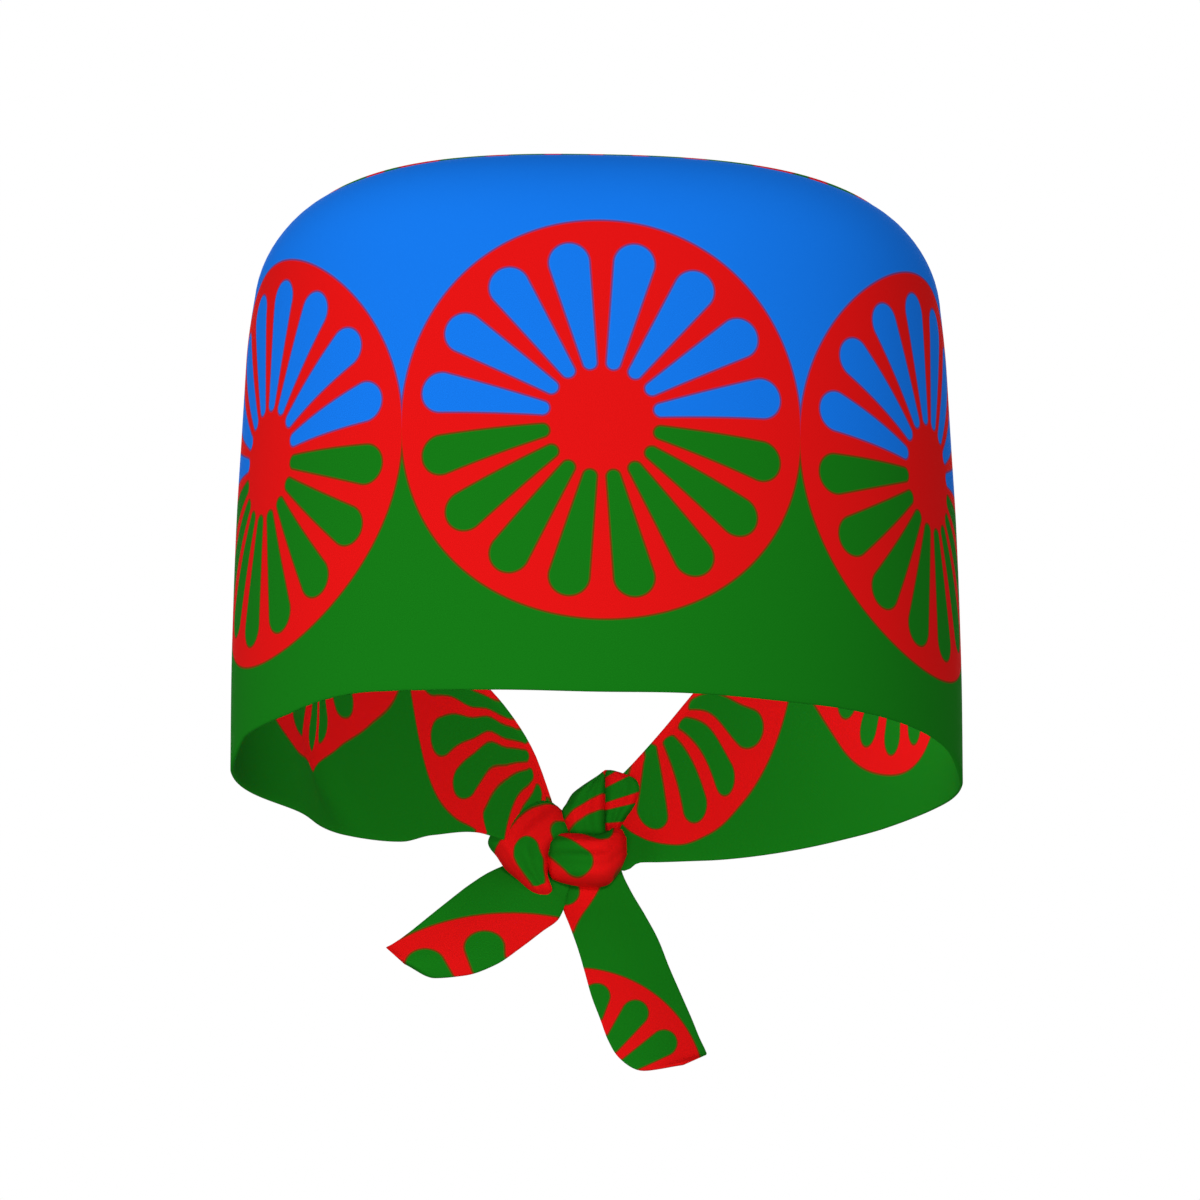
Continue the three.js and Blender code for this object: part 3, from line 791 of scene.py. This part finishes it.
# The left and right edge of each free end, by rows across it: place, height and distance back
LEFT_TAIL = [
    {"left_x": -15.5, "left_z": 12.8, "left_y": 127.6, "right_x": -6, "right_z": 7.5, "right_y": 127.4},
    {"left_x": -21.1, "left_z": 10.8, "left_y": 127.4, "right_x": -7, "right_z": 4.4, "right_y": 127.2},
    {"left_x": -24.5, "left_z": 9.2, "left_y": 127, "right_x": -7.5, "right_z": 2.3, "right_y": 126.8},
    {"left_x": -28.9, "left_z": 6.3, "left_y": 126.4, "right_x": -9.1, "right_z": -1.5, "right_y": 126.2},
    {"left_x": -33.7, "left_z": 2.5, "left_y": 125.8, "right_x": -13, "right_z": -4.6, "right_y": 125.4},
    {"left_x": -38.3, "left_z": -1.3, "left_y": 125.2, "right_x": -18.1, "right_z": -8.6, "right_y": 124.8},
    {"left_x": -42.5, "left_z": -4.8, "left_y": 124.8, "right_x": -23.6, "right_z": -12.4,
     "right_y": 124.2},
    {"left_x": -45.4, "left_z": -7, "left_y": 124.4, "right_x": -30.5, "right_z": -14.9, "right_y": 124},
    {"left_x": -47.3, "left_z": -8.2, "left_y": 124.2, "right_x": -37.4, "right_z": -15.5, "right_y": 124},
    {"left_x": -48.2, "left_z": -8.6, "left_y": 124, "right_x": -44.3, "right_z": -12.2, "right_y": 124},
]
RIGHT_TAIL = [
    {"left_x": -8, "left_z": 10, "left_y": 129, "right_x": 5, "right_z": 11, "right_y": 129.5},
    {"left_x": -8.4, "left_z": 6.3, "left_y": 128.6, "right_x": 5.8, "right_z": 8.5, "right_y": 130},
    {"left_x": -7.3, "left_z": 0.9, "left_y": 127, "right_x": 7.9, "right_z": 4.2, "right_y": 130.3},
    {"left_x": -5.7, "left_z": -3.4, "left_y": 125, "right_x": 10.7, "right_z": -0.6, "right_y": 130.5},
    {"left_x": -3.8, "left_z": -8.9, "left_y": 123.2, "right_x": 13.9, "right_z": -6.7, "right_y": 130.6},
    {"left_x": -2.2, "left_z": -14.6, "left_y": 122, "right_x": 16.4, "right_z": -13.2, "right_y": 130.6},
    {"left_x": -0.8, "left_z": -19.8, "left_y": 121.2, "right_x": 19.2, "right_z": -19.8, "right_y": 130.5},
    {"left_x": 1.2, "left_z": -25.3, "left_y": 120.8, "right_x": 21.7, "right_z": -25.7, "right_y": 130.3},
    {"left_x": 3.1, "left_z": -30.5, "left_y": 120.8, "right_x": 23.3, "right_z": -29.8, "right_y": 130},
    {"left_x": 5.8, "left_z": -34.8, "left_y": 121.2, "right_x": 24.5, "right_z": -32.4, "right_y": 129.8},
    {"left_x": 11.1, "left_z": -37.6, "left_y": 122, "right_x": 25, "right_z": -33.6, "right_y": 129.4},
    {"left_x": 20.1, "left_z": -36.2, "left_y": 123.6, "right_x": 25.1, "right_z": -33.9, "right_y": 128.8},
]
LEFT_TAIL_LAY = {"x": -20.1, "z": -69.7, "heading": 90.6, "spoke": -87.3, "along": 0.8, "across": 1.0}
RIGHT_TAIL_LAY = {"x": -5.9, "z": -75.4, "heading": 110.7, "spoke": 0, "along": 0.65, "across": 0.67}
TAIL_ROWS = 90
TAIL_COLUMNS = 40
TAIL_BOW = 1.6

# The print of the right free end slips up near the knot, from this depth below the hem on
SLIP_DEPTH = 14
RIGHT_SLIP = 5.6


def tail(name, rows, lay, slip=0):
    """A free end of the cloth, bowed towards the front. Its print may slip up near the knot."""
    edge = smooth_rows(rows, TAIL_ROWS)
    share = np.linspace(0, 1, TAIL_COLUMNS)[None, :]
    place = {a: edge["left_" + a] + (edge["right_" + a] - edge["left_" + a]) * share for a in "xyz"}
    y = place["y"] - TAIL_BOW * np.sin(math.pi * share)
    x, z = as_seen(place["x"], place["z"], y)
    outer = np.stack([x, y, z], -1)[:, ::-1]
    slipped = outer.copy()
    slipped[..., 2] -= slip * smooth((outer[..., 2] + SLIP_DEPTH) / SLIP_DEPTH)
    return cloth_object(name, outer, laid_print(slipped, lay), poplin, through=(0, 1, 0))


# The rolls of cloth in the knot, by rows across each: its two edges, its distance back and how far
# it swells towards the front and the back. Where the roll is turned over itself, each row also names
# where its two edges lie on the flat print, from the middle of a wheel. Those places come from the
# same kind of fit, rounded and changed in part.
LEFT_WRAP = [
    {"left_x": -10.9, "left_z": 26, "right_x": -7.6, "right_z": 23.4,
     "y": 126.2, "front": 2, "back": 2.5, "left_u": -17, "left_v": -46, "right_u": -15.5, "right_v": -43},
    {"left_x": -13.7, "left_z": 26.6, "right_x": -5.8, "right_z": 20.8,
     "y": 126, "front": 3.2, "back": 4, "left_u": -14.5, "left_v": -47.5, "right_u": -12, "right_v": -40},
    {"left_x": -17.6, "left_z": 25.5, "right_x": -5.8, "right_z": 18.4,
     "y": 125.8, "front": 4.6, "back": 5, "left_u": -6.5, "left_v": -49.5, "right_u": -9, "right_v": -38.5},
    {"left_x": -20.8, "left_z": 22.9, "right_x": -7.6, "right_z": 16.7,
     "y": 125.6, "front": 5.8, "back": 5.6, "left_u": 3.5, "left_v": -50.5, "right_u": -6, "right_v": -37},
    {"left_x": -23.1, "left_z": 19.8, "right_x": -9.4, "right_z": 15.4,
     "y": 125.4, "front": 6.4, "back": 6, "left_u": 12, "left_v": -50, "right_u": -3, "right_v": -36},
    {"left_x": -25, "left_z": 16.4, "right_x": -10.6, "right_z": 13,
     "y": 125.2, "front": 6.6, "back": 6, "left_u": 19, "left_v": -48, "right_u": -1, "right_v": -33},
    {"left_x": -23.1, "left_z": 13.4, "right_x": -11, "right_z": 10.7,
     "y": 125.2, "front": 6.2, "back": 5.6, "left_u": 18, "left_v": -42.5, "right_u": 0.5, "right_v": -29},
    {"left_x": -21.1, "left_z": 10.4, "right_x": -11.2, "right_z": 8.7,
     "y": 125.4, "front": 5.2, "back": 5.2, "left_u": 15, "left_v": -35, "right_u": 0.5, "right_v": -24},
    {"left_x": -18.3, "left_z": 7.7, "right_x": -10.8, "right_z": 7,
     "y": 125.6, "front": 4, "back": 4.4, "left_u": 9.5, "left_v": -22.5, "right_u": 0, "right_v": -16.5},
    {"left_x": -15.5, "left_z": 4.9, "right_x": -10.2, "right_z": 5.2,
     "y": 126, "front": 2.6, "back": 3.2, "left_u": 5, "left_v": -11.5, "right_u": -1.5, "right_v": -9.5},
    {"left_x": -13.7, "left_z": 3.6, "right_x": -11, "right_z": 3.8,
     "y": 126.6, "front": 1, "back": 1.4, "left_u": 2.5, "left_v": -9, "right_u": 0, "right_v": -8.5},
]
RIGHT_WRAP = [
    {"left_x": -11.4, "left_z": 16.3, "right_x": -11.6, "right_z": 11.6,
     "y": 125.4, "front": 2.4, "back": 3.5, "left_u": 4.5, "left_v": -22, "right_u": 0.5, "right_v": -27},
    {"left_x": -10.3, "left_z": 17.9, "right_x": -10.2, "right_z": 8,
     "y": 125, "front": 4, "back": 5.4, "left_u": 7, "left_v": -21.5, "right_u": -0.5, "right_v": -33.5},
    {"left_x": -7.3, "left_z": 18.3, "right_x": -7, "right_z": 6.9,
     "y": 124.6, "front": 6, "back": 6.6, "left_u": 10.5, "left_v": -24.5, "right_u": 1.5, "right_v": -39},
    {"left_x": -3.8, "left_z": 18.1, "right_x": -3.6, "right_z": 6.3,
     "y": 124.5, "front": 7.2, "back": 7, "left_u": 14.5, "left_v": -28, "right_u": 5, "right_v": -42.3},
    {"left_x": -0.4, "left_z": 17.9, "right_x": -0.1, "right_z": 6.1,
     "y": 124.5, "front": 7.4, "back": 7, "left_u": 18.5, "left_v": -31, "right_u": 8.5, "right_v": -44.8},
    {"left_x": 2.2, "left_z": 18.4, "right_x": 2.4, "right_z": 6.6,
     "y": 124.8, "front": 7, "back": 6.8, "left_u": 22, "left_v": -33, "right_u": 12, "right_v": -44.8},
    {"left_x": 4, "left_z": 19.6, "right_x": 4.2, "right_z": 8.2,
     "y": 125.2, "front": 6, "back": 6, "left_u": 26, "left_v": -33.5, "right_u": 15.5, "right_v": -44.5},
    {"left_x": 5.6, "left_z": 19.4, "right_x": 5.8, "right_z": 10.6,
     "y": 125.8, "front": 4.6, "back": 4.6, "left_u": 27.5, "left_v": -35, "right_u": 19, "right_v": -43},
    {"left_x": 6.9, "left_z": 17.3, "right_x": 7, "right_z": 13.2,
     "y": 126.6, "front": 2, "back": 2.4, "left_u": 27, "left_v": -37, "right_u": 23, "right_v": -41},
]
UPPER_FOLD = [
    {"left_x": 1.7, "left_z": 33.3, "right_x": 2.4, "right_z": 33.4,
     "y": 124.8, "front": 1, "back": 1, "left_u": 27.5, "left_v": -33.5, "right_u": 27.5, "right_v": -34.5},
    {"left_x": 0.6, "left_z": 32.3, "right_x": 2, "right_z": 32.7,
     "y": 124.6, "front": 1.8, "back": 1.8, "left_u": 25, "left_v": -32, "right_u": 26, "right_v": -34.5},
    {"left_x": -1.5, "left_z": 30.9, "right_x": 2, "right_z": 31,
     "y": 124.4, "front": 2.6, "back": 2.6, "left_u": 22.5, "left_v": -29, "right_u": 23.5, "right_v": -34.5},
    {"left_x": -3.8, "left_z": 29.3, "right_x": 2, "right_z": 29.1,
     "y": 124.2, "front": 3.2, "back": 3.2, "left_u": 20, "left_v": -25, "right_u": 20, "right_v": -34.5},
    {"left_x": -5.7, "left_z": 27.7, "right_x": 2, "right_z": 27.2,
     "y": 124.2, "front": 3.6, "back": 3.4, "left_u": 17, "left_v": -21.5, "right_u": 16.5, "right_v": -34},
    {"left_x": -7, "left_z": 25.5, "right_x": 2, "right_z": 25.1,
     "y": 124.2, "front": 3.8, "back": 3.6, "left_u": 14, "left_v": -18.5, "right_u": 13.2, "right_v": -33.5},
    {"left_x": -8, "left_z": 23.6, "right_x": 2, "right_z": 22.7,
     "y": 124.2, "front": 4, "back": 3.8, "left_u": 11, "left_v": -16, "right_u": 9.5, "right_v": -33},
    {"left_x": -7.7, "left_z": 21.3, "right_x": 2, "right_z": 20.3,
     "y": 124.4, "front": 4, "back": 3.8, "left_u": 8, "left_v": -15, "right_u": 6.5, "right_v": -32},
    {"left_x": -7, "left_z": 18.9, "right_x": 2.2, "right_z": 18.4,
     "y": 124.8, "front": 3.6, "back": 3.6, "left_u": 5.5, "left_v": -14.5, "right_u": 4.5, "right_v": -31.5},
    {"left_x": -5.7, "left_z": 16.5, "right_x": 2.2, "right_z": 16.3,
     "y": 125.4, "front": 2, "back": 2.4, "left_u": 3.5, "left_v": -15.5, "right_u": 3, "right_v": -30.5},
]
SIDE_FOLD = [
    {"left_x": 1.9, "left_z": 33.4, "right_x": 4.2, "right_z": 33.3, "y": 126, "front": 1, "back": 1},
    {"left_x": 1.6, "left_z": 32.7, "right_x": 6.5, "right_z": 32.5, "y": 126, "front": 1.8, "back": 1.8},
    {"left_x": 1.4, "left_z": 31.2, "right_x": 9.4, "right_z": 31, "y": 126, "front": 2.4, "back": 2.4},
    {"left_x": 1.2, "left_z": 29.3, "right_x": 10.4, "right_z": 28.9, "y": 126.2, "front": 2.8, "back": 2.8},
    {"left_x": 1.2, "left_z": 27.2, "right_x": 9.7, "right_z": 26.5, "y": 126.4, "front": 3.2, "back": 3},
    {"left_x": 1.2, "left_z": 25.1, "right_x": 8.7, "right_z": 24.4, "y": 126.6, "front": 3.4, "back": 3.2},
    {"left_x": 1.2, "left_z": 22.9, "right_x": 7.2, "right_z": 22.5, "y": 126.8, "front": 3.4, "back": 3.2},
    {"left_x": 1.2, "left_z": 20.8, "right_x": 5.8, "right_z": 20.3, "y": 127, "front": 3.2, "back": 3},
    {"left_x": 1.8, "left_z": 18.4, "right_x": 4.9, "right_z": 18.4, "y": 127.2, "front": 1.8, "back": 2},
]
SIDE_FOLD_LAY = {"x": -16.9, "z": -12.6, "heading": 15.5, "spoke": -67.5, "along": 0.75, "across": 0.45}
ROLL_RINGS = 96
ROLL_SIDES = 80
ROLL_FLAT = 0.85
ROLL_FOLDS = 3
ROLL_FOLD_SHARE = 0.06


def roll(name, rows, lay=None):
    """A closed roll of cloth with some shallow folds along it."""
    row = smooth_rows(rows, ROLL_RINGS)
    angle = np.linspace(0, 2 * math.pi, ROLL_SIDES, endpoint=False)[None, :]
    across = signed_power(np.cos(angle), ROLL_FLAT)
    swell = signed_power(np.sin(angle), ROLL_FLAT)

    def edge_to_edge(a):
        middle = (row["right_" + a] + row["left_" + a]) / 2
        return middle + (row["right_" + a] - row["left_" + a]) / 2 * across

    ripple = 1 + ROLL_FOLD_SHARE * np.sin(ROLL_FOLDS * math.pi * across) * np.abs(swell)
    deep = np.where(swell > 0, row["front"], row["back"]) * swell * ripple
    y = row["y"] - deep
    x, z = as_seen(edge_to_edge("x"), edge_to_edge("z"), row["y"])
    points = np.stack([x, y, z], -1)
    if lay:
        prints = laid_print(points, lay)
    else:
        prints = np.stack([edge_to_edge("u"), edge_to_edge("v") + WHEEL_HEIGHT], -1)
    total = ROLL_RINGS * ROLL_SIDES
    faces = faces_between(ROLL_RINGS, ROLL_SIDES)
    faces += fan(list(range(ROLL_SIDES)), total)
    faces += fan(list(range(total - ROLL_SIDES, total)), total + 1)
    points = np.concatenate([points.reshape(-1, 3), points[[0, -1]].mean(1)])
    prints = np.concatenate([prints.reshape(-1, 2), prints[[0, -1]].mean(1)])
    return mesh_object(name, points, faces, prints, poplin)


# Each sheet takes the place of the solid of its node. Its flat size is its width and its length in
# metres before it was sewn or tied.
SHEETS = [
    {"node": "side_band", "piece": side_band(), "flat": (0.134, 0.584), "held": "gathered"},
    {"node": "top_panel", "piece": top_panel(), "flat": (0.19, 0.27), "held": "stretched"},
    {"node": "left_tail", "piece": tail("printed_left_tail", LEFT_TAIL, LEFT_TAIL_LAY),
     "flat": (0.018, 0.045), "held": "hung"},
    {"node": "right_tail", "piece": tail("printed_right_tail", RIGHT_TAIL, RIGHT_TAIL_LAY, RIGHT_SLIP),
     "flat": (0.02, 0.052), "held": "hung"},
    {"node": "knot_left_wrap", "piece": roll("printed_knot_left_wrap", LEFT_WRAP),
     "flat": (0.028, 0.03), "held": "folded"},
    {"node": "knot_right_wrap", "piece": roll("printed_knot_right_wrap", RIGHT_WRAP),
     "flat": (0.028, 0.026), "held": "folded"},
    {"node": "knot_upper_fold", "piece": roll("printed_knot_upper_fold", UPPER_FOLD),
     "flat": (0.018, 0.022), "held": "folded"},
    {"node": "knot_side_fold", "piece": roll("printed_knot_side_fold", SIDE_FOLD, SIDE_FOLD_LAY),
     "flat": (0.018, 0.02), "held": "folded"},
]


for sheet in SHEETS:
    piece = sheet["piece"]
    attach(piece, "root")
    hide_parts(sheet["node"])

# From here on, lengths are in metres. The pale studio floor is well below the cap, which is held up
# as a head holds it.
FLOOR_DEPTH = 4.0
FLOOR_HALF = 60.0
FLOOR_COLOUR = "F2F2F0"
FLOOR_ROUGHNESS = 0.9


def studio_floor():
    """A painted floor, rolled matt: pale and even, with no gloss."""
    material = bpy.data.materials.new("matt_painted_floor")
    material.use_nodes = True
    shader = material.node_tree.nodes["Principled BSDF"]
    shader.inputs["Base Color"].default_value = linear(FLOOR_COLOUR)
    shader.inputs["Roughness"].default_value = FLOOR_ROUGHNESS
    mesh = bpy.data.meshes.new("studio_floor")
    half = FLOOR_HALF
    corners = [(-half, -half, 0), (half, -half, 0), (half, half, 0), (-half, half, 0)]
    mesh.from_pydata(corners, [], [(0, 1, 2, 3)])
    mesh.materials.append(material)
    floor = bpy.data.objects.new("studio_floor", mesh)
    floor.location.z = -FLOOR_DEPTH
    bpy.context.scene.collection.objects.link(floor)


studio_floor()

VIEW_CENTRE = Vector((VIEW_ACROSS, 0, VIEW_HEIGHT)) * MM

# The width of the camera's sensor, in millimetres as Blender has it
SENSOR = 36


def aimed(azimuth, elevation, distance):
    """A place that far from the middle of the view, and the turn that looks back at it."""
    away = Vector((
        math.sin(azimuth) * math.cos(elevation),
        -math.cos(azimuth) * math.cos(elevation),
        math.sin(elevation),
    ))
    return VIEW_CENTRE + away * distance, (-away).to_track_quat("-Z", "Y").to_euler()


def place_camera():
    """The camera at the photograph's angle, aimed at the middle of the view."""
    data = bpy.data.cameras.new("photo_camera")
    data.sensor_width = SENSOR
    data.lens = SENSOR * VIEW_DISTANCE / VIEW_WIDTH
    camera = bpy.data.objects.new("photo_camera", data)
    camera.location, camera.rotation_euler = aimed(0, -LOOK, VIEW_DISTANCE * MM)
    bpy.context.scene.collection.objects.link(camera)
    bpy.context.scene.camera = camera


place_camera()

# Soft studio light from large panels, by their bearing from the front (left is negative) and their
# elevation. Most stand low, so that they also reach the inside of the rear wings. The light of each
# is the brightness it gives a white cloth that faces it.
PANEL_DISTANCE = 2.5
PANELS = [
    {"name": "key_panel", "azimuth": -20, "elevation": 9, "size": 1.2, "light": 0.42},
    {"name": "high_panel", "azimuth": 5, "elevation": 60, "size": 1.2, "light": 0.10},
    {"name": "low_panel", "azimuth": -20, "elevation": -30, "size": 1.0, "light": 0.20},
    {"name": "left_panel", "azimuth": -70, "elevation": -15, "size": 1.0, "light": 0.18},
    {"name": "right_panel", "azimuth": 70, "elevation": -10, "size": 1.0, "light": 0.19},
    {"name": "back_panel", "azimuth": 180, "elevation": 25, "size": 1.2, "light": 0.35},
]
ROOM_LIGHT = 0.27

# A small card just behind the front wall throws light back on the inside of the rear wings
CARD_PLACE = (0.024, -0.062, 0.024)
CARD_SIZE = 0.028
CARD_POWER = 0.088
CARD_SPREAD = math.radians(125)
CARD_TURN = (math.radians(112), 0, 0)


def place_light(name, size, power, location, turn, spread=math.pi):
    """A square panel of light that the camera doesn't see."""
    data = bpy.data.lights.new(name, "AREA")
    data.size = size
    data.energy = power
    data.spread = spread
    light = bpy.data.objects.new(name, data)
    light.location, light.rotation_euler = location, turn
    light.visible_camera = False
    bpy.context.scene.collection.objects.link(light)


def place_panels():
    for panel in PANELS:
        bearing = math.radians(panel["azimuth"]), math.radians(panel["elevation"])
        power = panel["light"] * (math.pi * PANEL_DISTANCE) ** 2
        place_light(panel["name"], panel["size"], power, *aimed(*bearing, PANEL_DISTANCE))
    place_light("inside_card", CARD_SIZE, CARD_POWER, CARD_PLACE, CARD_TURN, CARD_SPREAD)


def white_room():
    """A white backdrop that lights the cap softly from all round."""
    world = bpy.data.worlds.new("white_room")
    world.use_nodes = True
    tree = world.node_tree
    tree.nodes.clear()
    seen = add_node(tree, "ShaderNodeLightPath").outputs["Is Camera Ray"]
    strength = add_node(
        tree,
        "ShaderNodeMapRange",
        {"Value": seen, "To Min": ROOM_LIGHT, "To Max": 1.0},
    )
    sky = add_node(tree, "ShaderNodeBackground", {"Color": (1, 1, 1, 1), "Strength": strength})
    add_node(tree, "ShaderNodeOutputWorld", [sky])
    bpy.context.scene.world = world


place_panels()
white_room()
bpy.context.scene.view_settings.view_transform = "Standard"
